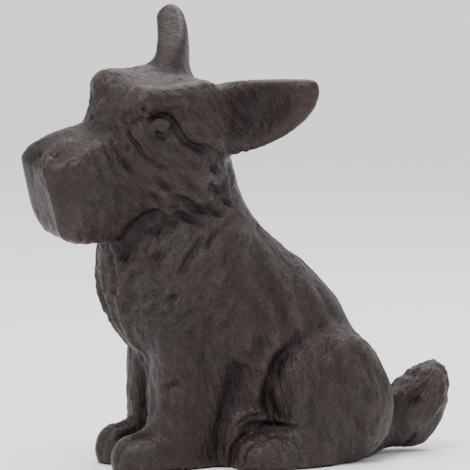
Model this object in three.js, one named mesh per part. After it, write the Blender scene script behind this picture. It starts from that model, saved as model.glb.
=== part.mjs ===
// A seated terrier, cast in one piece of iron, with its head turned and cocked to its left.
//
// Frame: millimetres, +Z up, the flat underside on z = 0, the dog facing -X with its right side
// towards +Y. The origin is at the middle of the footprint box.
//
// The dog is worked like clay. Lumps (ellipsoids and tapered limbs) are joined with soft fillets
// into one distance field, which is below zero inside the iron. Grooves are then pressed into the
// field, its zero surface is cut into triangles, and the triangles are thinned where it is smooth.
// Every place and size of a lump is a share of the dog's height: 200 shares from foot to ear tip.

import * as THREE from 'three';
import { edgeTable, triTable } from 'three/addons/objects/MarchingCubes.js';

// Driving sizes
const height = 200;          // mm, from the ground to the tip of the raised right ear
const headTurn = 12;         // degrees, the muzzle swung to the dog's left
const headTilt = 14;         // degrees, the head cocked over to the dog's left
const earWall = 2.6;         // mm, iron at the rim of an ear
const triangleCount = 9600;  // after thinning

const shares = 201.3;
const unit = height / shares;
const cell = 1.6;            // the grid that the surface is cut on, in shares
const room = { low: [-106, -62, -3], high: [110, 68, 206] };

// Field building

// Unit axes with x along `along` and z as near `facing` as it can be, as rows of a matrix.
function axesAlong(along, facing) {
  const x = new THREE.Vector3(...along).normalize();
  const z = new THREE.Vector3(...facing);
  z.addScaledVector(x, -z.dot(x)).normalize();
  const y = new THREE.Vector3().crossVectors(z, x);
  return [x, y, z].map((v) => v.toArray());
}

// Axes tipped by an angle in degrees about Y, which lifts or drops a lump's nose.
function axesTipped(degrees) {
  const a = THREE.MathUtils.degToRad(degrees);
  return [[Math.cos(a), 0, -Math.sin(a)], [0, 1, 0], [Math.sin(a), 0, Math.cos(a)]];
}

// An ellipsoid. A power above 2 makes it squarer, towards a box with round corners.
function ball(at, half, { axes = axesTipped(0), power = 2 } = {}) {
  const [X, Y, Z] = axes;
  const lump = (x, y, z) => {
    const dx = x - at[0], dy = y - at[1], dz = z - at[2];
    const u = Math.abs(X[0] * dx + X[1] * dy + X[2] * dz) / half[0];
    const v = Math.abs(Y[0] * dx + Y[1] * dy + Y[2] * dz) / half[1];
    const w = Math.abs(Z[0] * dx + Z[1] * dy + Z[2] * dz) / half[2];
    const sum = u ** power + v ** power + w ** power;
    if (sum < 1e-9) return -Math.min(...half);
    const slope = Math.hypot(u ** (power - 1) / half[0], v ** (power - 1) / half[1], w ** (power - 1) / half[2]);
    return (sum ** (1 / power) - 1) / (slope * sum ** (1 / power - 1));
  };
  return Object.assign(lump, { at, reach: Math.hypot(...half) });
}

// A round limb between two points, tapering from one radius to the other. `flat` above 1
// narrows it sideways.
function limb(from, to, startRadius, endRadius, flat = 1) {
  const [ax, ay, az] = from;
  const [bx, by, bz] = to.map((v, i) => v - from[i]);
  const lengthSquared = bx * bx + by * by + bz * bz;
  const lump = (x, y, z) => {
    const px = x - ax, py = y - ay, pz = z - az;
    const t = Math.max(0, Math.min(1, (px * bx + py * by + pz * bz) / lengthSquared));
    const away = Math.hypot(px - bx * t, (py - by * t) * flat, pz - bz * t);
    return (away - startRadius - (endRadius - startRadius) * t) / Math.max(1, flat * 0.9);
  };
  const at = from.map((v, i) => (v + to[i]) / 2);
  return Object.assign(lump, { at, reach: Math.sqrt(lengthSquared) / 2 + Math.max(startRadius, endRadius) });
}

// Two solids joined or cut with a fillet `k` wide.
function join(a, b, k) {
  const h = Math.max(k - Math.abs(a - b), 0) / k;
  return Math.min(a, b) - h * h * k / 4;
}
const cut = (a, b, k) => -join(-a, -b, k);

// A lump sliced off where a plane is above zero, with a fillet `k` wide.
const sliced = (lump, plane, k) => Object.assign(
  (x, y, z) => cut(lump(x, y, z), plane(x, y, z), k), { at: lump.at, reach: lump.reach });

// Joins a lump, and skips it where it is too far away to matter.
function add(d, lump, x, y, z, k) {
  const [cx, cy, cz] = lump.at;
  const away = Math.hypot(x - cx, y - cy, z - cz) - lump.reach;
  return away > d + k ? d : join(d, lump(x, y, z), k);
}

// A line drawn through points of the side view [x, z], pressed in on both flanks. It is a soft
// trough of the given width and depth that fades at its ends, or a ridge where the depth is below
// zero.
function sideLine(points, width, depth) {
  const curve = new THREE.CatmullRomCurve3(points.map(([x, z]) => new THREE.Vector3(x, 0, z)));
  const dots = curve.getPoints(points.length * 4);
  const room = width * 2.5;
  const box = new THREE.Box3().setFromPoints(dots).expandByScalar(room);
  return (x, z) => {
    if (x < box.min.x || x > box.max.x || z < box.min.z || z > box.max.z) return 0;
    let nearest = Infinity, share = 0;
    for (let i = 1; i < dots.length; i++) {
      const a = dots[i - 1], b = dots[i];
      const ex = b.x - a.x, ez = b.z - a.z;
      const t = Math.max(0, Math.min(1, ((x - a.x) * ex + (z - a.z) * ez) / (ex * ex + ez * ez)));
      const away = (x - a.x - ex * t) ** 2 + (z - a.z - ez * t) ** 2;
      if (away < nearest) {
        nearest = away;
        share = (i - 1 + t) / (dots.length - 1);
      }
    }
    return depth * (1 - (2 * share - 1) ** 6) * Math.exp(-nearest / (width * width));
  };
}

// Body, in the dog's own frame

const tailSlice = 14.5;       // the tail's flat upper side

const trunk = [
  limb([-23, 0, 84], [8, 0, 56], 37, 37, 1.2),
  limb([8, 0, 56], [31, 0, 31], 37, 35, 1.2),
];
const rump = ball([49, 0, 20], [25, 27, 27]);
const chest = ball([-33.5, 0, 84], [22.5, 24, 32]);
const neck = limb([-30, 0, 98], [-28, 0, 124], 29, 26, 1.12);
const belly = ball([-2, 0, 20], [30, 24, 40], { power: 2.6 });
const foreleg = ball([-29, 13, 36], [16, 12.2, 42], { power: 2.6 });
const legWeb = ball([-28, 0, 40], [14.5, 9, 44], { power: 2.6 });
const leftPaw = ball([-45.5, -12.5, 3], [18.5, 12.2, 12], { axes: axesTipped(14), power: 2.3 });
const rightPaw = ball([-42, 12.5, 4.6], [19.5, 11.5, 13], { axes: axesTipped(14), power: 2.3 });
const thigh = ball([35.5, 25, 28], [27.5, 17, 30], { axes: axesTipped(-20), power: 2.2 });
const hindPaw = ball([8, 32, 3], [21, 11, 13], { power: 2.4 });
const tail = sliced(ball([89, 0, 22.6], [13.4, 12.5, 21], { axes: axesTipped(20), power: 2.15 }),
  (x, y, z) => -0.511 * x + 0.859 * z + tailSlice, 4);
const tailRoot = limb([66, 0, 14], [84, 0, 15], 13, 12);

// Creases of the coat and the joints, seen from the side
const bodyCreases = [
  sideLine([[23.5, 61], [12.6, 52.6], [6.5, 40], [6.3, 30], [9, 20]], 4, 3.2),      // in front of the thigh
  sideLine([[0, 61], [-2, 45], [-4, 30], [-8, 21]], 5, 2.8),                        // fold of the flank
  sideLine([[-16.5, 40], [-17, 24], [-16.3, 3]], 2.6, 2.8),                         // behind the foreleg
  sideLine([[-43, 35.5], [-37, 38.5]], 1.5, 1.4),                                   // dent of the foreleg
  sideLine([[-12, 14], [-6, 20], [2, 22], [10, 19], [24, 12]], 1.8, 1.3),
  sideLine([[-8, 13], [-3, 16], [4, 17.5], [11, 14.5]], 1.4, 1.0),                             // folds of the hind foot
];
const seamWidth = 1.5, seamHeight = 0.9;
const toes = { gap: 7.5, width: 1.4, depth: 1.5 };
const waves = { length: 14, depth: 0.45 };
const legGap = ball([-47, 3.5, 24], [8, 3.4, 20]);

const rise = (from, to, v) => THREE.MathUtils.smoothstep(v, Math.min(from, to), Math.max(from, to));
const hump = (v, width) => Math.exp(-((v / width) ** 2));

function bodyField(x, y, z) {
  const side = Math.abs(y);
  let d = join(trunk[0](x, y, z), trunk[1](x, y, z), 8);
  d = add(d, chest, x, y, z, 14);
  d = add(d, neck, x, y, z, 14);
  d = add(d, rump, x, y, z, 8);
  d = add(d, belly, x, y, z, 6);
  d = add(d, foreleg, x, side, z, 5);
  d = add(d, legWeb, x, y, z, 4);
  d = add(d, leftPaw, x, y, z, 5);
  d = add(d, rightPaw, x, y, z, 5);
  d = add(d, thigh, x, side, z, 9);
  d = add(d, hindPaw, x, side, z, 3);
  d = add(d, tailRoot, x, y, z, 6);
  d = add(d, tail, x, y, z, 4);
  if (Math.abs(d) > 8) return d;

  d = cut(d, -legGap(x, y, z), 3);
  for (const crease of bodyCreases) d += crease(x, z) * rise(10, 16, side) * rise(2, 9, z);
  const seamAt = -2.5 * (1 - rise(30, 60, z));
  d -= seamHeight * hump(y - seamAt, seamWidth) * (1 - rise(-44, -36, x));
  d += toeGrooves(x, y + 12.5, z, -48) + toeGrooves(x, y - 12.5, z, -44);
  d += toeGrooves(x, side - 32, z, -7) + tailStrokes(x, y, z) + coat(x, side, z);
  return d;
}

// Two grooves that part three toes on the front of a paw
function toeGrooves(x, fromMiddle, z, start) {
  if (z > 20 || Math.abs(fromMiddle) > 12) return 0;
  const front = 1 - rise(start - 4, start + 4, x);
  return toes.depth * front * hump(Math.abs(fromMiddle) - toes.gap / 2, toes.width);
}

// Strokes that run up the tail, on both sides of it
function tailStrokes(x, y, z) {
  const across = (x - 86.5) * 0.966 - (z - 20.5) * 0.259;
  return 0.4 * Math.sin(across * 1.3) * rise(78, 84, x) * rise(3, 8, Math.abs(y));
}

// Broad waves of the coat that fall from the back over the ribs and the thigh
function coat(x, side, z) {
  const across = x * 0.95 + z * 0.28 + 3.5 * Math.sin(z / 11 + x / 24) + side * 0.1;
  const region = rise(-34, -14, x) * (1 - rise(64, 74, x)) * rise(16, 30, z) * (1 - rise(96, 110, z)) * rise(6, 14, side);
  return waves.depth * Math.sin(across * 2 * Math.PI / waves.length) * region;
}

// Head, in its own frame: x to the back, y to the dog's right, z up, from the top of the neck

const neckTop = [-5, 0, 130];
const headAxes = new THREE.Matrix4().makeRotationFromEuler(
  new THREE.Euler(THREE.MathUtils.degToRad(headTilt), 0, THREE.MathUtils.degToRad(headTurn), 'ZYX')).elements;

const skull = ball([-37, 0, 18], [33, 19.5, 23.5], { power: 2.8 });
const muzzle = ball([-75, 0, -4.5], [35, 17.6, 25], { power: 4 });
const cheek = ball([-38, 11, 4], [26, 15, 24]);
const temple = ball([-26, 17, 26], [20, 9, 15]);
const nose = ball([-91, 0, 3], [7, 10, 6], { power: 2.4 });
const brow = limb([-58, 13, 34], [-29, 14, 37.6], 7.4, 7);
const browFront = limb([-58, 13, 34], [-61, 11.5, 23], 7.4, 6.5);
const eyeSocket = ball([-53, 23.2, 28], [9, 6, 7.8]);
const eye = ball([-51.8, 18, 26], [5.2, 3.1, 3.7]);

// Creases of the face and the ruff, seen from the side of the head
const headCreases = [
  sideLine([[-57, 34], [-59.5, 28], [-65, 23], [-63, 19], [-60, 15.7], [-55, 12.4], [-50, 8.8]], 1.7, 1.7),
  sideLine([[-57, 30.5], [-52, 31.5], [-45.5, 27.5], [-41.5, 21.7], [-35.5, 17.8], [-26, 16]], 2.1, 2.4),
  sideLine([[-57.5, 24], [-54, 20.8], [-49, 19.8], [-45, 22]], 1.2, -0.9),
  sideLine([[-62, -27], [-54, -20.5], [-47, -14.5]], 3.2, 2.6),
];
const ruff = { from: -52, to: -10, pitch: 9, depth: 1.6 };

// The muzzle's planes: a beard that falls back under the nose, and a bridge that slopes to it.
const beardFront = (x, z) => -0.92 * x - 0.392 * z - 90.6;
const bridgeTop = (x, z) => -0.464 * x + 0.886 * z - 53.2;

// An ear: a flattened leaf from base to tip, straight along its upper edge and scooped out on the
// side that it faces. `upper` is 1 or -1, the side of the leaf that is the upper edge.
function ear(base, tip, facing, halfWidth, halfDepth, upper) {
  const along = tip.map((v, i) => v - base[i]);
  const length = Math.hypot(...along);
  const axes = axesAlong(along, facing);
  const [lengthways, across, forwards] = axes;
  const wall = earWall / unit;
  const middle = base.map((v, i) => v + lengthways[i] * length * 0.36);
  const outer = ball(middle, [length * 0.64, halfWidth, halfDepth], { axes, power: 2.15 });
  const scoop = ball(middle.map((v, i) => v + forwards[i] * halfDepth * 1.25 - lengthways[i] * 4),
    [length * 0.64 - wall - 2, halfWidth - wall - 0.5, halfDepth * 1.25], { axes, power: 2.15 });
  const edge = lengthways.map((v, i) => v * 0.398 + across[i] * upper * 0.917);
  const lump = (x, y, z) => {
    const above = (x - base[0]) * edge[0] + (y - base[1]) * edge[1] + (z - base[2]) * edge[2] - length * 0.405;
    const shell = cut(outer(x, y, z), above, 3);
    return cut(shell, -cut(scoop(x, y, z), above + wall * 0.9, 3), 5);
  };
  return Object.assign(lump, { at: middle, reach: outer.reach });
}
const leftEar = ear([-16, -16, 25], [7.5, -45.5, 52.5], [-0.75, -0.65, 0.1], 16.2, 6.8, 1);
const rightEar = ear([-28, 12, 28], [-13, 39, 64.5], [-0.75, 0.85, 0.1], 15, 9.3, -1);

function headField(x, y, z) {
  const side = Math.abs(y);
  let box = cut(muzzle(x, y, z), beardFront(x, z), 7);
  box = cut(box, bridgeTop(x, z), 6);
  let d = join(skull(x, y, z), box, 7);
  d = add(d, cheek, x, side, z, 7);
  d = add(d, temple, x, side, z, 4);
  d = add(d, nose, x, y, z, 2.5);
  d = add(d, brow, x, side, z, 4);
  d = add(d, browFront, x, side, z, 5);
  d = cut(d, -eyeSocket(x, side, z), 3);
  d = add(d, eye, x, side, z, 1.6);
  if (Math.abs(d) < 8) {
    for (const crease of headCreases) d += crease(x, z) * rise(6, 10, side);
    d += ruffLocks(x, side, z);
    d -= seamHeight * hump(y, seamWidth) * (1 - rise(-92, -84, x));
  }
  d = add(d, leftEar, x, y, z, 7);
  return add(d, rightEar, x, y, z, 5);
}

// The ruff hangs over the neck in pointed locks, and ends in a step
function ruffLocks(x, side, z) {
  if (side < 9 || z > 10 || z < -32) return 0;
  const lock = Math.abs(Math.sin(Math.PI * (x + 0.4 * z) / ruff.pitch));
  const edge = -8 + (x - ruff.to) * 0.3 - 5 * lock;
  const region = rise(ruff.from - 6, ruff.from + 4, x) * (1 - rise(ruff.to - 4, ruff.to + 6, x)) * rise(9, 15, side);
  const parting = 0.7 * hump(lock, 0.4) * (1 - rise(-10, 8, z));
  return region * (parting - ruff.depth * rise(edge - 1, edge + 1, z) * (1 - rise(-8, 4, z)));
}

// Point in the head's own frame.
function toHead(x, y, z) {
  const dx = x - neckTop[0], dy = y - neckTop[1], dz = z - neckTop[2];
  const m = headAxes;
  return [m[0] * dx + m[1] * dy + m[2] * dz, m[4] * dx + m[5] * dy + m[6] * dz, m[8] * dx + m[9] * dy + m[10] * dz];
}

const headJoint = 5;
const headStart = 70;
export function field(x, y, z) {
  let d = bodyField(x, y, z);
  if (z > headStart) d = join(d, headField(...toHead(x, y, z)), headJoint);
  return cut(d, -z, 1);
}
export { toHead };

// Surface

// Cuts the zero surface of the field into triangles on a grid of cubes. Points on the shared edges
// of the cubes are made once, so the mesh is closed. Away from the surface the value at a coarse
// point nearby will do.
function cutSurface(low, cells, step) {
  const [nx, ny, nz] = cells.map((n) => n + 1);
  const values = new Float32Array(nx * ny * nz);
  const valueAt = (h, j, k) => field(low[0] + h * step, low[1] + j * step, low[2] + k * step);
  const coarse = new Map();
  const nearby = (h, j, k) => {
    const a = Math.round(h / 3), b = Math.round(j / 3), c = Math.round(k / 3);
    const key = a + nx * (b + ny * c);
    if (!coarse.has(key)) coarse.set(key, valueAt(a * 3, b * 3, c * 3));
    return coarse.get(key);
  };
  for (let k = 0, i = 0; k < nz; k++) {
    for (let j = 0; j < ny; j++) {
      for (let h = 0; h < nx; h++, i++) {
        const value = nearby(h, j, k);
        values[i] = Math.abs(value) > 5 * step ? value : valueAt(h, j, k);
      }
    }
  }
  const strides = [1, nx, nx * ny];
  const corners = [0, 1, 1 + nx, nx, nx * ny, nx * ny + 1, nx * ny + 1 + nx, nx * ny + nx];
  const edges = [[0, 0], [1, 1], [3, 0], [0, 1], [4, 0], [5, 1], [7, 0], [4, 1], [0, 2], [1, 2], [2, 2], [3, 2]];
  const made = new Map();
  const points = [], faces = [];
  const pointOn = (corner, axis) => {
    const key = corner * 3 + axis;
    if (!made.has(key)) {
      const a = values[corner], b = values[corner + strides[axis]];
      const t = Math.min(0.95, Math.max(0.05, a / (a - b)));
      const place = [corner % nx, Math.floor(corner / nx) % ny, Math.floor(corner / (nx * ny))];
      place[axis] += t;
      made.set(key, points.length);
      points.push(place.map((n, i) => low[i] + n * step));
    }
    return made.get(key);
  };
  for (let k = 0; k < nz - 1; k++) {
    for (let j = 0; j < ny - 1; j++) {
      for (let h = 0; h < nx - 1; h++) {
        const origin = h + nx * (j + ny * k);
        let kind = 0;
        corners.forEach((offset, bit) => { if (values[origin + offset] > 0) kind |= 1 << bit; });
        if (edgeTable[kind] === 0) continue;
        for (let t = kind * 16; triTable[t] !== -1; t += 3) {
          faces.push([0, 1, 2].map((i) => {
            const [corner, axis] = edges[triTable[t + i]];
            return pointOn(origin + corners[corner], axis);
          }));
        }
      }
    }
  }
  return { points, faces };
}

const minus = (a, b) => [a[0] - b[0], a[1] - b[1], a[2] - b[2]];
const cross = (a, b) => [a[1] * b[2] - a[2] * b[1], a[2] * b[0] - a[0] * b[2], a[0] * b[1] - a[1] * b[0]];
const dot = (a, b) => a[0] * b[0] + a[1] * b[1] + a[2] * b[2];
const facing = (a, b, c) => cross(minus(b, a), minus(c, a));

// Squared distance to a set of planes, as ten sums: where it is least for the two ends of an edge
// together, and how large it is there. A light pull to the middle keeps flat places even.
function bestSpot(q, middle) {
  const pull = 1e-3 * (q[0] + q[4] + q[7]) + 1e-9;
  const A = [[q[0] + pull, q[1], q[2]], [q[1], q[4] + pull, q[5]], [q[2], q[5], q[7] + pull]];
  const b = [pull * middle[0] - q[3], pull * middle[1] - q[6], pull * middle[2] - q[8]];
  const whole = dot(A[0], cross(A[1], A[2]));
  const spot = [dot(b, cross(A[1], A[2])), dot(b, cross(A[2], A[0])), dot(b, cross(A[0], A[1]))].map((v) => v / whole);
  const [x, y, z] = spot;
  const cost = q[0] * x * x + q[4] * y * y + q[7] * z * z + q[9]
    + 2 * (q[1] * x * y + q[2] * x * z + q[5] * y * z + q[3] * x + q[6] * y + q[8] * z);
  const moved = minus(spot, middle);
  return { spot, cost: cost + 1e-4 * dot(moved, moved) };
}

// Thins a closed mesh in rounds (Garland and Heckbert's quadric error). The edges whose loss moves
// the surface least go first, and an edge stays where losing it would pinch or fold the surface.
// The head keeps finer triangles than the body.
const faceStart = 112;
function thin({ points, faces }, wanted) {
  const sums = points.map(() => new Float64Array(10));
  const around = points.map(() => new Set());
  faces.forEach((face, f) => {
    const [a, b, c] = face.map((v) => points[v]);
    const n = facing(a, b, c);
    const size = Math.hypot(...n) || 1e-12;
    const weight = size * (a[2] > faceStart ? 5 : 1);
    const [x, y, z] = n.map((v) => v / size);
    const w = -(x * a[0] + y * a[1] + z * a[2]);
    const plane = [x * x, x * y, x * z, x * w, y * y, y * z, y * w, z * z, z * w, w * w];
    for (const v of face) {
      around[v].add(f);
      plane.forEach((value, i) => { sums[v][i] += value * weight; });
    }
  });
  const neighbours = (v) => new Set([...around[v]].flatMap((f) => faces[f]).filter((u) => u !== v));

  const holds = (a, b, spot) => {
    const near = neighbours(b);
    const shared = [...neighbours(a)].filter((v) => near.has(v));
    if (shared.length !== 2 || shared.some((v) => around[v].size < 4)) return false;
    return [a, b].every((v) => [...around[v]].every((f) => {
      if (faces[f].includes(a) && faces[f].includes(b)) return true;
      const before = facing(...faces[f].map((u) => points[u]));
      const corners = faces[f].map((u) => (u === v ? spot : points[u]));
      const after = facing(...corners);
      const longest = Math.max(...corners.map((c, i) => Math.hypot(...minus(c, corners[(i + 1) % 3]))));
      const size = Math.hypot(...after);
      return dot(before, after) > 0.35 * size * Math.hypot(...before) && size > 0.12 * longest * longest;
    }));
  };

  let left = faces.length;
  while (left > wanted) {
    const edges = [];
    faces.forEach((face) => face?.forEach((a, i) => {
      const b = face[(i + 1) % 3];
      if (a > b) return;
      const middle = points[a].map((v, k) => (v + points[b][k]) / 2);
      edges.push({ a, b, ...bestSpot(sums[a].map((v, k) => v + sums[b][k]), middle) });
    }));
    edges.sort((p, q) => p.cost - q.cost);
    const touched = new Set();
    const before = left;
    for (const { a, b, spot } of edges) {
      if (left <= Math.max(wanted, before * 0.85)) break;
      if (touched.has(a) || touched.has(b) || !holds(a, b, spot)) continue;
      for (const v of [...neighbours(a), ...neighbours(b)]) touched.add(v);
      points[a] = spot;
      sums[a] = sums[a].map((v, k) => v + sums[b][k]);
      for (const f of around[b]) {
        if (faces[f].includes(a)) {
          for (const v of faces[f]) if (v !== b) around[v].delete(f);
          faces[f] = null;
          left -= 1;
        } else {
          faces[f] = faces[f].map((v) => (v === b ? a : v));
          around[a].add(f);
        }
      }
      around[b].clear();
    }
    if (left === before) break;
  }
  const kept = new Map();
  const number = (v) => {
    if (!kept.has(v)) kept.set(v, kept.size);
    return kept.get(v);
  };
  const thinned = faces.filter(Boolean).map((face) => face.map(number));
  return { points: [...kept.keys()].map((v) => points[v]), faces: thinned };
}

// Moves a point onto the field's surface, or onto the ground where it belongs to the underside.
function settle([x, y, z]) {
  if (z < 0.4) return [x, y, 0];
  const e = 0.2;
  const slope = [
    field(x + e, y, z) - field(x - e, y, z),
    field(x, y + e, z) - field(x, y - e, z),
    field(x, y, z + e) - field(x, y, z - e),
  ].map((v) => v / (2 * e));
  const step = Math.max(-0.4, Math.min(0.4, field(x, y, z) / Math.max(dot(slope, slope), 0.25)));
  return [x - slope[0] * step, y - slope[1] * step, Math.max(0.4, z - slope[2] * step)];
}

const cells = room.high.map((v, i) => Math.ceil((v - room.low[i]) / cell));
const skin = thin(cutSurface(room.low, cells, cell), triangleCount);
const settled = skin.points.map(settle);

// The middle of the footprint box goes to the origin.
const middle = [0, 1].map((i) => {
  const values = settled.map((p) => p[i]);
  return (Math.min(...values) + Math.max(...values)) / 2;
});
const geometry = new THREE.BufferGeometry();
geometry.setAttribute('position', new THREE.Float32BufferAttribute(
  settled.flatMap(([x, y, z]) => [(x - middle[0]) * unit, (y - middle[1]) * unit, z * unit]), 3));
geometry.setIndex(skin.faces.flat());
geometry.computeVertexNormals();

const castIron = new THREE.MeshStandardMaterial({ name: 'cast iron', color: 0x3a302c, metalness: 0.6, roughness: 0.6 });
const dog = new THREE.Mesh(geometry, castIron);
dog.name = 'dog_casting';

const part = new THREE.Group();
part.name = 'cast_iron_dog';
part.add(dog);
export default part;
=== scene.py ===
"""A seated terrier cast in one piece of dark iron, with its head cocked to its left."""
import math

import bmesh
import bpy
import numpy as np
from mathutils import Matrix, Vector


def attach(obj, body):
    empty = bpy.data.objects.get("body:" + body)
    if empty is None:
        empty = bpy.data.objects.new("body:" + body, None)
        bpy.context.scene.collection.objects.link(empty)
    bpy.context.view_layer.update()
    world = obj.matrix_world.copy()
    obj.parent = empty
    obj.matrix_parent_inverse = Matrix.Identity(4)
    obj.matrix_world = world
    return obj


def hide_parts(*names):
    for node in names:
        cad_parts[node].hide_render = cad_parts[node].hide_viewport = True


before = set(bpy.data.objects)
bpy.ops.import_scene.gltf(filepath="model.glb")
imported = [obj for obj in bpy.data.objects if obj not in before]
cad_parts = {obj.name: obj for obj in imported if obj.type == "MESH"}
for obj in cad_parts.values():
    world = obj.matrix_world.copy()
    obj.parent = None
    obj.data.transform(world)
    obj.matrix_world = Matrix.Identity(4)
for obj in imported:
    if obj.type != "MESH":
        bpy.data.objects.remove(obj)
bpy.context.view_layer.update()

# The casting's clay form. The dog was modelled in clay, moulded and cast in iron in one pour.
# Its lumps are measured in shares of its height, from the ground to the right ear's tip, and
# `MIDDLE` is the middle of its footprint, which stands on the origin.
HEIGHT = 0.2  # metres
SHARES = 201.3
SHARE = HEIGHT / SHARES
MIDDLE = np.array([-0.408, -6.284, 0.0])
HEAD_TURN, HEAD_TILT = math.radians(12), math.radians(14)
NECK_TOP = np.array([-5, 0, 130])
HEAD_START = 70
EAR_WALL = 2.6


def rise(start, end, v):
    """A smooth step: 0 below start, 1 above end, and the cubic 3t² - 2t³ between them."""
    t = np.clip((v - start) / (end - start), 0, 1)
    return t * t * (3 - 2 * t)


def hump(v, width):
    """A bell: e to the power of minus the square of v over the width."""
    return np.exp(-((v / width) ** 2))


def join(a, b, k):
    """The lesser of two distances, with a fillet k wide where they are nearly the same."""
    h = np.maximum(k - np.abs(a - b), 0) / k
    return np.minimum(a, b) - h * h * k / 4


def cut(a, b, k):
    """The greater of two distances, with a fillet k wide: a without what b keeps."""
    return -join(-a, -b, k)


def mirrored(p):
    """Points with y made positive, so that a lump at positive y stands on both sides."""
    return p * [1, 0, 1] + np.abs(p) * [0, 1, 0]


def tipped(degrees):
    """Axes turned about Y, as rows, which lifts or drops a lump's nose."""
    c, s = math.cos(math.radians(degrees)), math.sin(math.radians(degrees))
    return np.array([[c, 0, -s], [0, 1, 0], [s, 0, c]])


def ball(p, at, half, axes=None, power=2.0):
    """Distance to an ellipsoid, roughly: its level (Σ|q/half|^power)^(1/power) - 1 over the slope
    of that level. A power above 2 makes it squarer."""
    q = p - at if axes is None else (p - at) @ np.asarray(axes).T
    s = np.abs(q) / half
    total = np.maximum((s**power).sum(axis=1), 1e-6)
    slope = np.sqrt(((s ** (power - 1) / half) ** 2).sum(axis=1))
    return (total ** (1 / power) - 1) / np.maximum(slope * total ** (1 / power - 1), 1e-6)


def limb(p, start, end, start_radius, end_radius, flat=1.0):
    """Distance to a tapered round limb: that to the nearest point of its line, less the radius
    there. Flat above 1 narrows it sideways."""
    start = np.asarray(start, float)
    line = np.asarray(end, float) - start
    q = p - start
    t = np.clip(q @ line / (line @ line), 0, 1)
    away = (q - t[:, None] * line) * [1, flat, 1]
    radius = start_radius + (end_radius - start_radius) * t
    return (np.linalg.norm(away, axis=1) - radius) / max(1, flat * 0.9)


def body_form(p):
    """The body: lumps joined with fillets, those of the legs and thighs on both sides."""
    both = mirrored(p)
    # trunk, breast, neck, rump and belly
    d = join(limb(p, [-23, 0, 84], [8, 0, 56], 37, 37, 1.2),
             limb(p, [8, 0, 56], [31, 0, 31], 37, 35, 1.2), 8)
    d = join(d, ball(p, [-33.5, 0, 84], [22.5, 24, 32]), 14)
    d = join(d, limb(p, [-30, 0, 98], [-28, 0, 124], 29, 26, 1.12), 14)
    d = join(d, ball(p, [49, 0, 20], [25, 27, 27]), 8)
    d = join(d, ball(p, [-2, 0, 20], [30, 24, 40], power=2.6), 6)
    # forelegs, the web between them, left and right fore paw
    d = join(d, ball(both, [-29, 13, 36], [16, 12.2, 42], power=2.6), 5)
    d = join(d, ball(p, [-28, 0, 40], [14.5, 9, 44], power=2.6), 4)
    d = join(d, ball(p, [-45.5, -12.5, 3], [18.5, 12.2, 12], tipped(14), 2.3), 12)
    d = join(d, ball(p, [-42, 12.5, 4.6], [19.5, 11.5, 13], tipped(14), 2.3), 5)
    # thighs and hind feet
    d = join(d, ball(both, [35.5, 25, 28], [27.5, 17, 30], tipped(-20), 2.2), 9)
    d = join(d, ball(both, [8, 32, 3], [21, 11, 13], power=2.4), 12)
    # the tail's root, the tail with its sliced front, and the gap between the forelegs
    d = join(d, limb(p, [66, 0, 14], [84, 0, 15], 13, 12), 6)
    tail = ball(p, [89, 0, 22.6], [13.4, 12.5, 21], tipped(20), 2.15)
    d = join(d, cut(tail, p @ [-0.511, 0, 0.859] + 14.5, 4), 4)
    return cut(d, -ball(p, [-47, 3.5, 24], [8, 3.4, 20]), 3)


def ear_form(p, base, tip, facing, half_width, half_depth, upper):
    """An ear: an ellipsoid leaf from base to tip, cut straight along its upper edge, with a
    smaller ellipsoid scooped out of the side that it faces."""
    base, tip = np.asarray(base, float), np.asarray(tip, float)
    length = np.linalg.norm(tip - base)
    lengthways = (tip - base) / length
    forwards = np.asarray(facing, float)
    forwards = forwards - forwards @ lengthways * lengthways
    forwards /= np.linalg.norm(forwards)
    across = np.cross(forwards, lengthways)
    axes = np.array([lengthways, across, forwards])
    middle = base + lengthways * length * 0.36
    half_length = length * 0.64
    outer = ball(p, middle, [half_length, half_width, half_depth], axes, 2.15)
    inner = ball(p, middle + forwards * half_depth * 1.25 - lengthways * 4,
                 [half_length - EAR_WALL - 2, half_width - EAR_WALL - 0.5, half_depth * 1.25], axes, 2.15)
    above = (p - base) @ (lengthways * 0.398 + across * upper * 0.917) - length * 0.405
    return cut(cut(outer, above, 3), -cut(inner, above + EAR_WALL * 0.9, 3), 5)


def head_form(p):
    """The head in its own frame: skull, square muzzle, cheeks, brows, eyes and ears."""
    both = mirrored(p)
    # the muzzle, cut flat in front and along its top
    box = ball(p, [-75, 0, -4.5], [35, 17.6, 25], power=4)
    box = cut(box, p @ [-0.92, 0, -0.392] - 90.6, 7)
    box = cut(box, p @ [-0.464, 0, 0.886] - 53.2, 6)
    # skull, cheeks, the ears' roots and the nose
    d = join(ball(p, [-37, 0, 18], [33, 19.5, 23.5], power=2.8), box, 7)
    d = join(d, ball(both, [-38, 11, 4], [26, 15, 24]), 7)
    d = join(d, ball(both, [-26, 17, 26], [20, 9, 15]), 4)
    d = join(d, ball(p, [-91, 0, 3], [7, 10, 6], power=2.4), 2.5)
    # brows and their tufts, eye sockets and eyes
    d = join(d, limb(both, [-58, 13, 34], [-29, 14, 37.6], 7.4, 7), 4)
    d = join(d, limb(both, [-58, 13, 34], [-61, 11.5, 23], 7.4, 6.5), 5)
    d = cut(d, -ball(both, [-53, 23.2, 28], [9, 6, 7.8]), 3)
    d = join(d, ball(both, [-51.8, 18, 26], [5.2, 3.1, 3.7]), 1.6)
    left_ear = ear_form(p, [-16, -16, 25], [7.5, -45.5, 52.5], [-0.75, -0.65, 0.1], 16.2, 6.8, 1)
    right_ear = ear_form(p, [-28, 12, 28], [-13, 39, 64.5], [-0.75, 0.85, 0.1], 15, 9.3, -1)
    return join(join(d, left_ear, 7), right_ear, 5)


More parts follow.
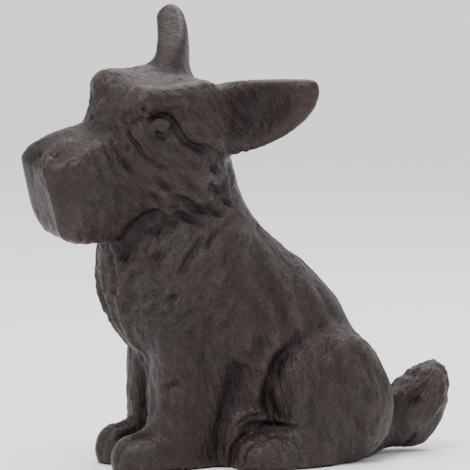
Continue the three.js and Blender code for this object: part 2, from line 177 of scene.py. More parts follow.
# The head's own axes, turned about the upright and then tilted about its length: x to the back,
# y to the dog's right, z up.
HEAD_AXES = np.array([
    [math.cos(HEAD_TURN), -math.sin(HEAD_TURN), 0], [math.sin(HEAD_TURN), math.cos(HEAD_TURN), 0], [0, 0, 1],
]) @ np.array([
    [1, 0, 0], [0, math.cos(HEAD_TILT), -math.sin(HEAD_TILT)], [0, math.sin(HEAD_TILT), math.cos(HEAD_TILT)],
])


def to_head(p):
    """Points in the head's own frame, measured from the top of the neck along its axes."""
    return (p - NECK_TOP) @ HEAD_AXES


def dog_form(p):
    """The whole dog: its body, and its head from the chest up."""
    d = body_form(p)
    high = p[:, 2] > HEAD_START
    d[high] = join(d[high], head_form(to_head(p[high])), 5)
    return d


def slope_of(p, step=0.2):
    """The form's gradient, from four points at the corners of a small tetrahedron."""
    corners = np.array([[1, 1, 1], [1, -1, -1], [-1, 1, -1], [-1, -1, 1]]) * step
    return sum(dog_form(p + c)[:, None] * c for c in corners) / (4 * step * step)


def fine_copy(solid, face_size):
    """A copy of a solid with its points merged, cut again into even small faces."""
    data = solid.data.copy()
    merged = bmesh.new()
    merged.from_mesh(data)
    bmesh.ops.remove_doubles(merged, verts=merged.verts, dist=1e-6)
    merged.to_mesh(data)
    merged.free()
    made = bpy.data.objects.new("dog_iron", data)
    bpy.context.collection.objects.link(made)
    remesh = made.modifiers.new("even faces", "REMESH")
    remesh.mode = "VOXEL"
    remesh.voxel_size = face_size
    seen = made.evaluated_get(bpy.context.evaluated_depsgraph_get())
    made.data = bpy.data.meshes.new_from_object(seen)
    made.modifiers.clear()
    return made


def refine_round(mesh, middle, reach):
    """Parts each square face near a place on both sides of the head into four."""
    even = bmesh.new()
    even.from_mesh(mesh)
    places = np.array([f.calc_center_median() for f in even.faces]) / SHARE + MIDDLE
    away = np.linalg.norm(mirrored(to_head(places)) - middle, axis=1)
    even.faces.ensure_lookup_table()
    chosen = {e for i in np.flatnonzero(away < reach) for e in even.faces[i].edges}
    bmesh.ops.subdivide_edges(even, edges=list(chosen), cuts=1, use_grid_fill=True)
    even.to_mesh(mesh)
    even.free()


FACE_SIZE = 0.00108  # metres
EYE_REGION, EYE_REACH = [-52, 18, 24], 17
UNDERSIDE_EDGE = 0.7  # points lower than this lie on the flat underside, and stay there
NEWTON_STEPS, LONGEST_STEP = 4, 1.5

dog = fine_copy(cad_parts["dog_casting"], FACE_SIZE)
refine_round(dog.data, EYE_REGION, EYE_REACH)
count = len(dog.data.vertices)
points = np.zeros(count * 3, np.float32)
dog.data.vertices.foreach_get("co", points)
points = points.reshape(-1, 3).astype(float) / SHARE + MIDDLE
free = points[:, 2] >= UNDERSIDE_EDGE
for _ in range(NEWTON_STEPS):
    slope = slope_of(points)
    push = dog_form(points) / np.maximum((slope**2).sum(axis=1), 0.2)
    points -= slope * np.clip(push, -LONGEST_STEP, LONGEST_STEP)[:, None] * free[:, None]
points[:, 2] = np.maximum(points[:, 2], 0)
normals = slope_of(points)
normals /= np.linalg.norm(normals, axis=1)[:, None]


# The carving. The modeller pressed creases, locks and strokes of the coat into the clay with a
# tool, and they came out a little softened in the iron. Heights are in the same shares.
def tool_line(p, stops, width, depth):
    """A line that a tool pressed through stops, a Catmull-Rom curve. Its height is minus the depth
    times a bell of the distance to it, exp(-(distance / width)²), and is shallower at its ends."""
    stops = np.array(stops, float)
    ends = np.vstack([2 * stops[0] - stops[1], stops, 2 * stops[-1] - stops[-2]])
    t = np.linspace(0, 1, 5)[:-1, None]
    pieces = [
        0.5 * (2 * b + (c - a) * t + (2 * a - 5 * b + 4 * c - d) * t**2 + (3 * b - 3 * c + d - a) * t**3)
        for a, b, c, d in zip(ends, ends[1:], ends[2:], ends[3:])
    ]
    line = np.vstack(pieces + [stops[-1:]])
    reach = 2.5 * width
    near = ((p > line.min(axis=0) - reach) & (p < line.max(axis=0) + reach)).all(axis=1)
    q = p[near]
    nearest, share = np.full(len(q), 1e9), np.zeros(len(q))
    for i, (a, b) in enumerate(zip(line, line[1:])):
        t = np.clip((q - a) @ (b - a) / ((b - a) @ (b - a)), 0, 1)
        away = ((q - a - t[:, None] * (b - a)) ** 2).sum(axis=1)
        closer = away < nearest
        nearest = np.where(closer, away, nearest)
        share = np.where(closer, (i + t) / (len(line) - 1), share)
    pressed = np.zeros(len(p))
    pressed[near] = -depth * (1 - 0.65 * (2 * share - 1) ** 4) * np.exp(-nearest / width**2)
    return pressed


def spot(p, at, reach):
    """A round swelling: the bell of the distance to a place."""
    return hump(np.linalg.norm(p - at, axis=1), reach)


def lattice_noise(p, seed):
    """Smooth noise from -1 to 1: a random number at each whole-numbered corner of a cube, blended
    over the cube with the cubic step. The long numbers only stir the corner's number."""
    low = np.floor(p).astype(np.int64)
    t = p - low
    t = t * t * (3 - 2 * t)
    total = np.zeros(len(p))
    for corner in np.ndindex(2, 2, 2):
        h = (low + corner) @ np.array([374761393, 668265263, 2147483647]) + seed * 974634777
        h = (h ^ (h >> 13)) * 1274126177 & 0x7FFFFFFF
        weight = np.where(corner, t, 1 - t).prod(axis=1)
        total += weight * (((h ^ (h >> 16)) & 0xFFFF) / 32767.5 - 1)
    return total


def strokes(p, along, width, length, seed):
    """Noise drawn out along a direction, like strokes of a comb."""
    along = np.asarray(along, float) / np.linalg.norm(along)
    lengthways = p @ along
    across = p - lengthways[:, None] * along
    return lattice_noise(across / width + (lengthways / length)[:, None] * along, seed)


head = to_head(points)
x, y, z = points.T
hx, hy, hz = head.T
side, head_side = np.abs(y), np.abs(hy)
is_head = rise(-2, 2, body_form(points) - head_form(head)) * (z > HEAD_START)
is_body = 1 - is_head
sway = 3.5 * np.stack([lattice_noise(points / 17, seed) for seed in (1, 2, 3)], axis=1)
swayed, swayed_head = points + sway, head + sway

# Lines on both sides of the dog: the space that their stops are in, x to the back, y out from the
# middle and z up, then the stops, the width, and the depth, below zero for a ridge.
on_body, on_head = mirrored(points), mirrored(head)
height = np.zeros(count)
for space, stops, width, depth in [
    # notch before the brow, upper lid, brow's shadow, under the eye
    (on_head, [[-65.6, 16.7, 26.3], [-64.0, 18.4, 28.6], [-62.1, 19.8, 30.2], [-62.8, 20.1, 33.0],
     [-63.1, 20.0, 35.2]], 1.2, 1.5),
    (on_head, [[-61.9, 19.7, 29.8], [-57.8, 18.2, 29.4], [-54.5, 18.0, 29.5]], 0.7, 0.6),
    (on_head, [[-53.9, 17.6, 30.2], [-50.4, 18.0, 30.0], [-46.9, 18.5, 28.5], [-44.3, 21.1, 24.7],
     [-41.1, 23.5, 21.3], [-37.1, 24.4, 18.5], [-31.8, 24.7, 16.8], [-25.9, 24.3, 15.3]], 1.8, 1.6),
    (on_head, [[-46.0, 19.2, 26.9], [-43.4, 22.4, 23.5], [-39.7, 23.9, 20.0]], 2.4, 0.3),
    (on_head, [[-55.8, 18.6, 28.4], [-55.7, 20.0, 25.2], [-51.5, 19.3, 21.7],
     [-48.0, 21.3, 20.4]], 0.8, 0.8),
    (on_head, [[-57.2, 18.8, 27.0], [-54.8, 19.6, 28.6], [-51.8, 20.0, 29.0], [-48.8, 20.2, 27.8],
     [-46.6, 20.6, 25.6]], 1.1, -1.0),
    # creases of the cheek and the muzzle's side
    (on_head, [[-66.4, 15.7, 25.6], [-66.3, 16.1, 23.5], [-65.0, 17.2, 20.7], [-62.1, 18.3, 17.6],
     [-59.5, 19.9, 14.1], [-55.0, 22.3, 11.6], [-50.9, 24.0, 8.8]], 1.0, 1.3),
    (on_head, [[-70.7, 15.2, 16.3], [-69.1, 16.7, 12.6], [-65.6, 18.2, 8.0], [-60.6, 19.6, 4.5]], 1.0, 1.0),
    (on_head, [[-75.2, 11.2, 18.4], [-75.1, 16.0, 14.4], [-73.0, 17.1, 9.8], [-69.0, 17.7, 3.0]], 0.9, 0.9),
    (on_head, [[-82.3, 14.2, 15.1], [-81.3, 16.8, 11.4], [-79.0, 17.4, 7.0], [-75.0, 17.6, 0.0]], 0.9, 0.8),
    (on_head, [[-67.2, 17.2, 11.8], [-63.9, 18.9, 6.9]], 0.8, 0.8),
    (on_head, [[-58.2, 21.2, 1.1], [-56.3, 20.7, -5.5], [-53.0, 19.3, -12.8]], 0.9, 1.0),
    (on_head, [[-61.2, 19.4, -2.1], [-58.1, 19.4, -8.1]], 0.8, 0.6),
    (on_head, [[-54.4, 23.1, 5.1], [-48.5, 24.6, 0.8]], 0.9, 0.7),
    (on_head, [[-44.8, 25.4, 7.2], [-37.1, 26.0, 2.6]], 0.9, 0.7),
    (on_head, [[-38.2, 25.2, 12.3], [-32.4, 25.4, 8.5]], 0.9, 0.6),
    (on_head, [[-54.2, 22.0, -4.3], [-48.7, 22.6, -7.9]], 1.0, 0.8),
    (on_head, [[-36.4, 24.5, 29.0], [-31.3, 25.3, 21.0]], 1.0, 0.5),
    # the beard's front
    (on_head, [[-99.0, 4.5, 3.0], [-97.0, 5.5, -8.0], [-92.0, 6.5, -20.0]], 1.2, 0.7),
    (on_head, [[-98.0, 14.0, 0.0], [-95.5, 13.5, -10.0], [-91.0, 13.0, -20.0]], 1.3, 0.6),
    (on_head, [[-98.6, 1.5, 6.5], [-98.9, 4.5, 6.0], [-98.0, 7.5, 7.5]], 1.2, 0.8),
    # shadow behind the jaw, and gaps between the locks of the ruff
    (on_head, [[-57.9, 10.3, -29.0], [-58.2, 14.6, -25.4], [-56.0, 16.3, -20.8], [-53.0, 17.3, -17.5],
     [-51.0, 18.5, -15.4]], 4.0, 2.3),
    (on_head, [[-53.0, 17.3, -17.5], [-49.9, 19.6, -13.8], [-46.8, 21.9, -10.5]], 2.6, 1.4),
    (on_head, [[-42.5, 24.9, -4.3], [-37.9, 24.7, -5.9], [-33.5, 24.2, -7.6]], 1.3, 1.6),
    (on_head, [[-40.6, 22.6, -12.3], [-34.3, 24.7, -14.2], [-28.5, 27.2, -16.1]], 1.3, 1.5),
    (on_head, [[-30.6, 24.4, -10.6], [-24.7, 25.5, -11.7]], 1.0, 1.4),
    (on_head, [[-27.0, 24.0, -8.6], [-21.3, 24.8, -10.3]], 0.9, 1.1),
    (on_head, [[-22.4, 25.7, -11.6], [-17.2, 26.2, -13.4]], 1.3, 2.2),
    (on_head, [[-16.2, 22.6, -7.0], [-10.2, 22.6, -10.0]], 1.3, 2.1),
    (on_head, [[-25.4, 23.8, -0.8], [-16.7, 21.3, -3.8]], 1.2, 1.9),
    (on_head, [[-25.6, 24.1, 8.3], [-18.9, 21.6, 4.5]], 1.2, 1.8),
    (on_head, [[-44.5, 21.2, -17.9], [-39.0, 23.7, -16.8]], 1.1, 1.0),
    (on_head, [[-50.2, 17.6, -22.5], [-44.7, 22.3, -21.3]], 1.5, 1.0),
    (on_head, [[-50.8, 24.1, 1.6], [-44.4, 25.3, -1.0]], 1.1, 1.2),
    (on_head, [[-47.3, 24.2, -3.9], [-41.5, 24.1, -7.3]], 1.0, 0.9),
    (on_head, [[-36.3, 23.9, -9.0], [-30.5, 24.4, -10.9]], 1.1, 1.2),
    (on_head, [[-38.8, 25.9, 0.8], [-31.2, 24.9, -2.5]], 1.0, 0.8),
    # ridges of the brow, the neck and the locks
    (on_head, [[-50.1, 20.1, 35.3], [-46.0, 20.6, 36.5], [-41.6, 21.2, 36.3],
     [-38.0, 22.5, 34.7]], 1.3, -1.0),
    (on_head, [[-27.0, 24.7, 17.1], [-25.7, 24.5, 16.5]], 1.2, -1.3),
    (on_head, [[-19.5, 22.7, 12.2], [-13.3, 18.7, 2.5], [-10.9, 20.4, -6.2]], 1.3, -1.4),
    (on_head, [[-10.0, 15.6, 8.3], [-7.2, 14.9, 1.1], [-6.4, 16.5, -3.5]], 1.0, -0.8),
    (on_head, [[-22.7, 23.1, 11.0], [-19.0, 21.6, 5.0]], 1.1, -1.0),
    (on_head, [[-52.6, 20.9, -9.2], [-44.8, 21.6, -12.0], [-39.0, 23.1, -11.4]], 2.0, -0.8),
    (on_head, [[-35.2, 23.8, -11.7], [-28.9, 25.9, -13.6]], 1.6, -0.7),
    (on_head, [[-35.3, 25.1, -4.1], [-27.0, 24.0, -8.0]], 1.8, -0.8),
    (on_head, [[-26.3, 23.8, -4.9], [-17.9, 23.3, -8.1]], 1.8, -0.8),
    # flank, thigh and hind foot
    (on_body, [[-0.1, 32.2, 57.6], [-2.1, 31.5, 52.0], [-4.2, 29.7, 44.9]], 5.0, 2.0),
    (on_body, [[-8.9, 28.5, 45.8], [-10.1, 25.9, 39.5], [-12.1, 23.9, 33.3]], 5.2, 2.2),
    (on_body, [[-12.1, 23.9, 33.3], [-14.8, 23.5, 25.5], [-17.1, 23.5, 16.8],
     [-17.5, 22.2, 5.7]], 3.4, 2.2),
    (on_body, [[20.9, 31.5, 58.5], [13.5, 32.9, 53.2], [7.5, 32.3, 47.3], [4.8, 30.9, 40.7],
     [2.8, 28.0, 33.0], [4.0, 26.5, 25.8], [7.2, 27.8, 21.4], [10.7, 31.7, 19.9]], 3.0, 2.6),
    (on_body, [[11.1, 32.8, 51.5], [7.1, 32.2, 46.4], [5.6, 31.2, 40.7]], 2.6, 1.2),
    (on_body, [[6.1, 32.4, 62.2], [2.8, 32.3, 52.7], [0.8, 30.2, 43.0], [0.0, 26.8, 33.0],
     [-0.7, 25.1, 27.6]], 2.6, -0.8),
    (on_body, [[10.9, 32.4, 20.8], [15.8, 36.3, 18.8], [21.5, 38.5, 15.7], [28.2, 38.8, 10.6],
     [34.3, 37.0, 5.2]], 2.2, 0.6),
    (on_body, [[-14.6, 23.1, 12.3], [-12.3, 23.4, 18.3], [-6.4, 24.0, 22.9], [0.1, 24.5, 24.0],
     [6.0, 26.3, 20.8]], 2.4, -1.9),
    (on_body, [[-11.4, 23.4, 12.1], [-9.6, 23.7, 16.9], [-3.5, 24.0, 20.6], [3.7, 24.9, 20.8],
     [9.2, 28.7, 18.3], [12.8, 34.5, 16.1]], 2.2, -1.1),
    (on_body, [[-13.0, 23.6, 12.2], [-10.9, 23.9, 17.6], [-5.0, 24.6, 21.8], [1.9, 25.4, 22.4],
     [7.6, 28.0, 19.6]], 1.1, 1.0),
    (on_body, [[-9.6, 25.0, 11.2], [-7.7, 25.0, 16.0], [-2.1, 25.4, 18.8], [4.7, 26.4, 18.8],
     [9.5, 29.6, 18.0]], 1.2, 1.1),
    (on_body, [[-5.5, 39.1, 11.0], [-1.8, 37.2, 14.1], [3.1, 36.8, 15.1], [7.3, 39.2, 13.8]], 1.2, 1.2),
    (on_body, [[25.7, 35.6, 51.2], [25.4, 40.4, 38.5]], 2.0, 0.6),
    (on_body, [[32.2, 35.2, 53.1], [32.9, 40.8, 40.4]], 2.0, 0.6),
    (on_body, [[43.4, 41.2, 34.7], [44.3, 41.4, 29.8]], 1.8, 0.8),
    (on_body, [[40.3, 41.7, 22.6], [41.8, 40.6, 15.8]], 1.3, 0.8),
    # back, shoulder, chest and foreleg
    (on_body, [[42.5, 30.5, 57.5], [46.0, 33.6, 52.3]], 1.0, -0.8),
    (on_body, [[44.1, 33.5, 53.3], [47.8, 38.2, 43.4]], 1.0, -0.8),
    (on_body, [[46.7, 38.4, 44.0], [50.6, 39.4, 33.7]], 1.0, -0.7),
    (on_body, [[-59.8, 14.2, 92.8], [-58.0, 16.7, 94.6]], 1.5, 1.2),
    (on_body, [[-52.0, 23.5, 91.5], [-48.7, 25.7, 93.7], [-45.2, 27.4, 95.9]], 2.4, 1.4),
    (on_body, [[-54.4, 21.4, 87.1], [-51.0, 24.4, 88.9], [-47.3, 26.8, 89.8]], 1.8, 0.9),
    (on_body, [[-28.5, 30.1, 101.6], [-35.0, 31.0, 94.1], [-40.6, 29.8, 85.9]], 1.4, 1.2),
    (on_body, [[-19.6, 28.1, 105.5], [-23.8, 30.2, 100.6], [-27.2, 31.3, 96.4]], 1.2, 1.0),
    (on_body, [[-50.9, 22.0, 74.8], [-46.2, 26.3, 78.1]], 1.0, 0.7),
    (on_body, [[-46.5, 24.8, 73.6], [-40.6, 28.5, 76.3]], 1.0, 0.7),
    (on_body, [[-27.8, 25.1, 46.8], [-25.5, 25.2, 50.2]], 1.0, 1.0),
    (on_body, [[-43.2, 20.3, 35.2], [-40.6, 22.9, 37.1], [-36.5, 24.6, 38.0]], 1.3, 1.6),
    (on_body, [[-44.8, 9.6, 36.8], [-45.0, 11.1, 31.7], [-44.6, 9.8, 26.6], [-43.7, 9.0, 21.5],
     [-46.4, 9.2, 17.0], [-51.0, 8.6, 14.4], [-55.9, 7.5, 11.6]], 1.8, -1.3),
    (on_body, [[-54.2, 17.2, 14.9], [-49.6, 16.3, 15.4], [-46.7, 19.6, 13.9]], 2.2, 1.2),
    (on_body, [[-60.9, 11.8, 93.9], [-60.3, 13.1, 86.6], [-59.6, 13.1, 80.9], [-59.4, 10.3, 75.0],
     [-58.0, 7.5, 68.6], [-55.3, 6.6, 62.8], [-49.8, 2.5, 54.7], [-43.9, 3.7, 48.2],
     [-42.5, 0.3, 41.9]], 1.7, -1.5),
    # tail
    (on_body, [[79.6, 8.2, 27.4], [82.6, 9.2, 30.1], [86.6, 9.1, 33.5], [91.0, 8.3, 36.4]], 1.2, 1.2),
    (on_body, [[80.1, 10.2, 24.4], [83.6, 11.1, 27.1], [87.4, 11.5, 30.5], [91.3, 10.7, 33.9]], 1.3, 1.5),
    (on_body, [[81.0, 11.4, 22.3], [84.3, 11.8, 24.9]], 1.5, 1.6),
    (on_body, [[78.7, 4.9, 28.9], [82.8, 4.6, 32.3], [87.4, 3.5, 35.1]], 1.0, 0.8),
    # hollow inside the bib's edge
    (on_body, [[-61.5, 7.5, 93.9], [-61.2, 8.8, 86.6], [-60.5, 8.5, 80.9], [-60.0, 5.5, 75.0],
     [-58.3, 3.0, 68.6]], 2.6, 0.9),
]:
    height += tool_line(space, stops, width, depth)

# Round swellings, and dents where the height is below zero: the space, the place, the reach and
# the height.
for space, at, reach, tall in [
    # fullness over the eye and over the loin, the flattened eye, the nose's worn edge
    (on_head, [-53, 18.5, 28], 6.5, 1.0),
    (on_body, [42, 19, 67], 13, 1.8),
    (on_head, [-51.8, 21, 25.6], 3.3, -1.7),
    (head, [-101, 5, 10], 7, -1.6),
    # nubs of flash down the back, on the chest and at the left ear's root
    (points, [1, 0, 120.3], 1.7, 2.2),
    (points, [4.5, -1, 115.5], 1.2, 1.3),
    (points, [7.5, 0.5, 112], 1.1, 1.5),
    (points, [10.5, -1, 109], 1.3, 1.1),
    (points, [14, 0, 104.5], 1.2, 1.1),
    (points, [-56, 15, 84.5], 1.4, 1.6),
    (points, [-29, -33, 168], 1.2, 1.1),
    (points, [-25, -32, 168], 1.0, 1.0),
    # holes between the forelegs, on the left paw and at the ear's root, and the nostrils
    (points, [-45, 1, 29], 1.5, -2.0),
    (points, [-47, 0.5, 21], 1.5, -2.0),
    (points, [-56, -3, 10], 1.3, -1.2),
    (points, [-35.5, -17.3, 170.2], 1.8, -1.3),
    (head, [-97.5, 3.5, 9], 1.5, -1.5),
    (head, [-95.5, -5.6, 10.5], 1.5, -1.5),
]:
    height += tall * spot(space, at, reach)

# The ruff's locks, 9 shares wide. Their lower edge stands proud, and partings run between them.
lock = np.abs(np.sin(np.pi * (hx + 0.4 * hz) / 9))
edge = -8 + (hx + 10) * 0.3 - 5 * lock
ruff = rise(-58, -48, hx) * (1 - rise(-14, -4, hx)) * rise(9, 15, head_side) * rise(-32, -28, hz) * is_head
height += ruff * 0.5 * rise(edge - 1, edge + 1, hz) * (1 - rise(-8, 4, hz))
height -= ruff * 0.4 * hump(lock, 0.4) * (1 - rise(-10, 8, hz))

# Two grooves part the toes of each paw: the left and right fore paw, and both hind feet.
for paw_y, start in ((y + 12.5, -48), (y - 12.5, -44), (side - 32, -7)):
    on_paw = (np.abs(paw_y) < 12) & (z < 20)
    height -= on_paw * 1.5 * (1 - rise(start - 4, start + 4, x)) * hump(np.abs(paw_y) - 3.75, 1.3)

# Soft waves of the coat on the flank, 14 shares apart.
across = swayed[:, 0] * 0.95 + swayed[:, 2] * 0.28 + 3.5 * np.sin(z / 11 + x / 24) + side * 0.1
flank = rise(-34, -14, x) * (1 - rise(64, 74, x)) * rise(16, 30, z) * (1 - rise(96, 110, z))
height -= 0.38 * np.sin(across * 2 * np.pi / 14) * flank * rise(6, 14, side)

# Strokes of the coat: down the flanks, down and back on the head, up the tail, and faint on the
# ears, the head's top, the muzzle's front, the paws and round the eyes.
tail = rise(74, 80, x) * (z < 60)
shoulder = (1 - rise(-18, 6, x)) * rise(50, 70, z)
to_ruff = rise(-66, -50, hx) * (1 - rise(18, 28, hz))
paws = (1 - rise(12, 20, z)) * (1 - rise(-30, -24, x)) * is_body
upright_ear = rise(40, 47, hz) * is_head * rise(-46, -38, hx)
ears = np.maximum(upright_ear, rise(24, 32, head_side) * rise(14, 22, hz) * is_head)
tops = rise(0.35, 0.75, (normals @ HEAD_AXES)[:, 2]) * is_head
face_front = (1 - rise(-94, -84, hx)) * is_head
eyes = spot(on_head, [-51.8, 20, 26], 9)
coat = (1 - 0.7 * ears) * (1 - 0.5 * tops) * (1 - 0.7 * face_front) * (1 - 0.6 * paws) * (1 - 0.9 * eyes)

down = (strokes(swayed, [0.25, 0, -0.97], 2.3, 9, 4) * 0.5
        + strokes(swayed, [0.25, 0, -0.97], 1.4, 6, 5) * 0.25
        + strokes(swayed, [0.3, 0, -0.95], 6, 24, 6) * 0.55)
slant = (strokes(swayed, [0.6, 0, 0.8], 2.4, 9, 15) * 0.75
         + strokes(points, [0.55, 0, 0.83], 1.4, 5, 16) * 0.5)
up = strokes(points, [0.5, 0, 0.86], 1.7, 9, 9) * 1.3
on_muzzle = (strokes(swayed_head, [0.55, 0, -0.83], 2.2, 9, 7) * 0.5
             + strokes(head, [0.5, 0, -0.87], 1.4, 5, 8) * 0.35)
on_cheek = (strokes(swayed_head, [0.85, 0, -0.5], 2.4, 9, 13) * 0.8
            + strokes(head, [0.8, 0, -0.6], 1.4, 5, 14) * 0.4)
body_strokes = (1 - tail) * (down * (1 - shoulder) + slant * shoulder) + tail * up
head_strokes = on_muzzle * (1 - to_ruff) + on_cheek * to_ruff
height += 0.88 * coat * (is_head * head_strokes + is_body * body_strokes)

# The mould's two halves met along the middle of the dog, and left a seam with crumbs of flash.
seam_y = -2.5 * (1 - rise(30, 60, z)) * (x < -30)
crumbs = rise(0.25, 0.7, lattice_noise(points / 2.6, 10)) * rise(-10, 0, x) * rise(60, 80, z)
height += is_body * hump(y - seam_y, 1.3) * (0.8 * (1 - rise(-44, -36, x)) + 0.9 * crumbs)

# A blunt ridge runs down the muzzle's front, and its left corner is rounded from top to bottom.
muzzle_front = (1 - rise(-90, -82, hx)) * is_head
ridge_y = np.interp(hz, [-25, -5, 5, 12], [-10, -9, -7, -1])
height += muzzle_front * 0.9 * (hump(hy - ridge_y, 1.0) + hump(hy - ridge_y, 4.5))
height -= is_head * 2.2 * spot(head * [1, 1, 0.25], [-97, -18, -1.5], 7)

# Sand left pits in the iron where the mould was tight, and two rough patches, on the muzzle and
# the tail.
pits = rise(0.55, 0.85, lattice_noise(points / 2.1, 11)) * rise(0.0, 0.5, lattice_noise(points / 9, 12))
height -= 0.6 * pits * (1 - 0.5 * ears) * (1 - eyes)
rough = spot(on_head, [-92.5, 17, 5], 7) + spot(points, [83, -10, 26], 8)
height -= 0.9 * rough * rise(0.1, 0.6, lattice_noise(points / 1.9, 17))

# The carving fades towards the ground, so the dog still stands flat.
points += normals * (height * rise(0, 5, z))[:, None]
points[:, 2] = np.maximum(points[:, 2], 0)

edges = np.zeros(len(dog.data.edges) * 2, np.int32)
dog.data.edges.foreach_get("vertices", edges)
one_end, other_end = edges.reshape(-1, 2).T
neighbours = np.maximum(np.bincount(edges, minlength=count), 1)


def smoothed(values):
    """Each value replaced by the mean of its neighbours along the edges."""
    total = (np.bincount(one_end, values[other_end], count)
             + np.bincount(other_end, values[one_end], count))
    return total / neighbours


# How far a point stands above or below the ground around it, near and wider. The iron's colour turns this
# into painted shade in the hollows and a painted highlight on the high places.
level = points.copy()
relief_painted_light = np.zeros(count)
for passes, weight in ((8, 1), (30, 0.35)):
    for _ in range(passes):
        level = np.stack([smoothed(column) for column in level.T], axis=1)
    relief_painted_light += weight * ((points - level) * normals).sum(axis=1)
relief_painted_light = smoothed(smoothed(relief_painted_light))
# Less painted shade and highlight on the ears, a painted highlight on the outer part of the left ear, and
# painted shade on the muzzle's front.
relief_painted_light *= 1 - 0.45 * ears - 0.15 * upright_ear
relief_painted_light += 0.3 * ears * rise(28, 42, -hy) - 0.22 * (1 - rise(-97, -90, hx)) * is_head

dog.data.vertices.foreach_set("co", ((points - MIDDLE) * SHARE).astype(np.float32).ravel())
for name, values in {
    "relief_painted_light": np.clip(relief_painted_light, -1, 1),
    "coat": coat,
    "slanted": np.maximum(shoulder, tail) * is_body,
    "head": is_head,
}.items():
    dog.data.attributes.new(name, "FLOAT", "POINT").data.foreach_set("value", values.astype(np.float32))
dog.data.polygons.foreach_set("use_smooth", np.ones(len(dog.data.polygons), bool))
dog.data.update()


# The iron. It was never painted: it has gone dark brown with grey-green clouds and is darker between the
# strokes. Painted shade darkens its hollows and a greenish painted highlight lightens its high places.
def node(tree, kind, inputs=None, **settings):
    """A shader node with its settings, and its inputs set or linked."""
    made = tree.nodes.new(kind)
    for name, value in settings.items():
        setattr(made, name, value)
    for name, value in (inputs or {}).items():
        if isinstance(value, bpy.types.NodeSocket):
            tree.links.new(value, made.inputs[name])
        else:
            made.inputs[name].default_value = value
    return made


def named(tree, name):
    """A value that the mesh carries at its points."""
    return node(tree, "ShaderNodeAttribute", attribute_name=name).outputs["Fac"]


def noise(tree, place, scale, detail, roughness, distortion=0.0):
    """Cloudy noise from 0 to 1, with so many clouds to the metre."""
    return node(tree, "ShaderNodeTexNoise", {
        "Vector": place, "Scale": scale, "Detail": detail, "Roughness": roughness, "Distortion": distortion,
    }).outputs["Fac"]


def combed(tree, place, degrees):
    """Noise drawn out along a line in the side view, so many degrees from upright to the back."""
    turned = node(tree, "ShaderNodeMapping", {
        "Vector": place, "Rotation": (0, math.radians(degrees), 0), "Scale": (1, 1, 4.5),
    }, vector_type="TEXTURE").outputs["Vector"]
    return noise(tree, turned, 560, 2.5, 0.6, 0.6)


def ranged(tree, value, low=0, high=1, new_low=0, new_high=1):
    """A value between low and high brought to between new_low and new_high, and held there."""
    return node(tree, "ShaderNodeMapRange", {
        "Value": value, "From Min": low, "From Max": high, "To Min": new_low, "To Max": new_high,
    }).outputs["Result"]


def ramp(tree, factor, *stops):
    """A colour ramp through (position, colour) stops."""
    made = node(tree, "ShaderNodeValToRGB", {"Fac": factor})
    bands = made.color_ramp.elements
    while len(bands) < len(stops):
        bands.new(0.5)
    for band, (position, colour) in zip(bands, stops):
        band.position, band.color = position, (*colour, 1)
    return made.outputs["Color"]


def mixed(tree, share_name, first, second):
    """The first value, or the second where the named attribute is 1."""
    made = node(tree, "ShaderNodeMix", data_type="FLOAT")
    for index, value in ((0, named(tree, share_name)), (2, first), (3, second)):
        tree.links.new(value, made.inputs[index])
    return made.outputs[0]


def multiplied(tree, product, *others):
    """Colours multiplied together."""
    for other in others:
        made = node(tree, "ShaderNodeMix", data_type="RGBA", blend_type="MULTIPLY")
        made.inputs[0].default_value = 1
        tree.links.new(product, made.inputs[6])
        tree.links.new(other, made.inputs[7])
        product = made.outputs[2]
    return product


def bump(tree, height, strength, distance, below=None):
    """A fine bump on top of those below it, so many metres high at full strength."""
    inputs = {"Height": height, "Strength": strength, "Distance": distance}
    if below is not None:
        inputs["Normal"] = below
    return node(tree, "ShaderNodeBump", inputs).outputs["Normal"]


iron = bpy.data.materials.new("cast iron")
iron.use_nodes = True
tree = iron.node_tree
tree.nodes.clear()
place = node(tree, "ShaderNodeTexCoord").outputs["Object"]
clouds = noise(tree, place, 38, 5, 0.6)
specks = noise(tree, place, 420, 3, 0.65)
grain = noise(tree, place, 1150, 2, 0.6)
hair = mixed(tree, "slanted", combed(tree, place, -16), combed(tree, place, 35))
hair = mixed(tree, "head", hair, combed(tree, place, -42))
coat_here = named(tree, "coat")
brushed = node(tree, "ShaderNodeMath", {0: ranged(tree, hair, 0.36, 0.54), 1: coat_here},
               operation="MULTIPLY").outputs["Value"]

patina = ramp(tree, clouds, (0.32, (0.0190, 0.0103, 0.0090)), (0.52, (0.0203, 0.0129, 0.0117)),
              (0.72, (0.0208, 0.0186, 0.0161)))
# Darker between the strokes of the coat, and where the coat is smooth.
stroke_tone = ramp(tree, brushed, (0.0, (0.72, 0.69, 0.68)), (0.8, (1.06, 1.06, 1.06)))
sanded = ramp(tree, grain, (0.35, (0.72, 0.70, 0.70)), (0.5, (1, 1, 1)), (0.68, (1.5, 1.5, 1.47)))
mottled = ramp(tree, specks, (0.30, (0.78, 0.75, 0.75)), (0.55, (1, 1, 1)), (0.75, (1.25, 1.24, 1.2)))
# Painted shade in the hollows and a greenish painted highlight on the high places, from the relief at each
# point.
painted_shade_and_highlight = ramp(tree, ranged(tree, named(tree, "relief_painted_light"), -1, 1),
              (0.15, (0.20, 0.16, 0.15)), (0.45, (0.92, 0.90, 0.89)),
              (0.58, (1.12, 1.12, 1.11)), (0.85, (1.7, 1.8, 1.72)))

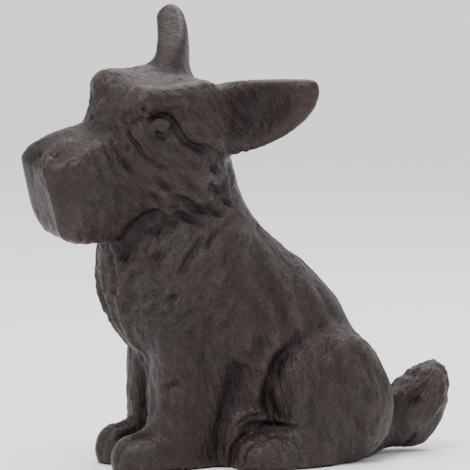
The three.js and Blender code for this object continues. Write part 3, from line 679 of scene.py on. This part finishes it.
combing = bump(tree, brushed, 0.48, 0.0008)
lumps = bump(tree, specks, 0.22, 0.0006, combing)
sand = bump(tree, grain, ranged(tree, coat_here, new_high=0.65), 0.0005, lumps)
surface = node(tree, "ShaderNodeBsdfPrincipled", {
    "Base Color": multiplied(tree, patina, mottled, stroke_tone, sanded, painted_shade_and_highlight),
    "Metallic": 0.4,
    "Roughness": ranged(tree, specks, new_low=0.56, new_high=0.34),
    "Specular IOR Level": 0.37,
    "Normal": sand,
})
node(tree, "ShaderNodeOutputMaterial", {"Surface": surface.outputs["BSDF"]})
dog.data.materials.clear()
dog.data.materials.append(iron)
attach(dog, "root")
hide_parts("dog_casting")

# The table top that the dog stands on, and the soft light of a photographer's tent: a broad lamp
# above and to the left, a weaker one to the right, and pale walls all round.
bpy.ops.mesh.primitive_plane_add(size=6, location=(0, 0, 0))
floor = bpy.context.object
floor.name = "table_top"
pale = bpy.data.materials.new("pale table top")
pale.use_nodes = True
pale.node_tree.nodes["Principled BSDF"].inputs["Base Color"].default_value = (0.93, 0.93, 0.93, 1)
pale.node_tree.nodes["Principled BSDF"].inputs["Roughness"].default_value = 0.8
floor.data.materials.append(pale)

world = bpy.data.worlds.new("pale walls")
world.use_nodes = True
world.node_tree.nodes["Background"].inputs["Color"].default_value = (1, 1, 1, 1)
world.node_tree.nodes["Background"].inputs["Strength"].default_value = 1.3
bpy.context.scene.world = world


def lamp(name, at, size, watts):
    """A square lamp that faces the dog's shoulders."""
    light = bpy.data.lights.new(name, "AREA")
    light.size, light.energy = size, watts
    made = bpy.data.objects.new(name, light)
    made.location = at
    made.rotation_euler = (Vector((0, 0, 0.1)) - Vector(at)).to_track_quat("-Z", "Y").to_euler()
    bpy.context.collection.objects.link(made)


lamp("key", (-0.55, -0.6, 1.35), 0.6, 17)
lamp("top", (0.5, 0.5, 1.3), 0.7, 12)

# The camera: 24 degrees round from the dog's left side towards its face, a little above its feet.
camera = bpy.data.objects.new("camera", bpy.data.cameras.new("camera"))
bpy.context.collection.objects.link(camera)
aim = (np.array([0, 0, 99.8]) - MIDDLE) * SHARE
round_by, up_by, away = math.radians(24), math.radians(4.5), 2000 * SHARE
camera.location = aim + away * np.array(
    [-math.sin(round_by) * math.cos(up_by), -math.cos(round_by) * math.cos(up_by), math.sin(up_by)])
camera.rotation_euler = (Vector(aim) - camera.location).to_track_quat("-Z", "Y").to_euler()
camera.data.lens = 347.7
camera.data.clip_end = 20
bpy.context.scene.camera = camera
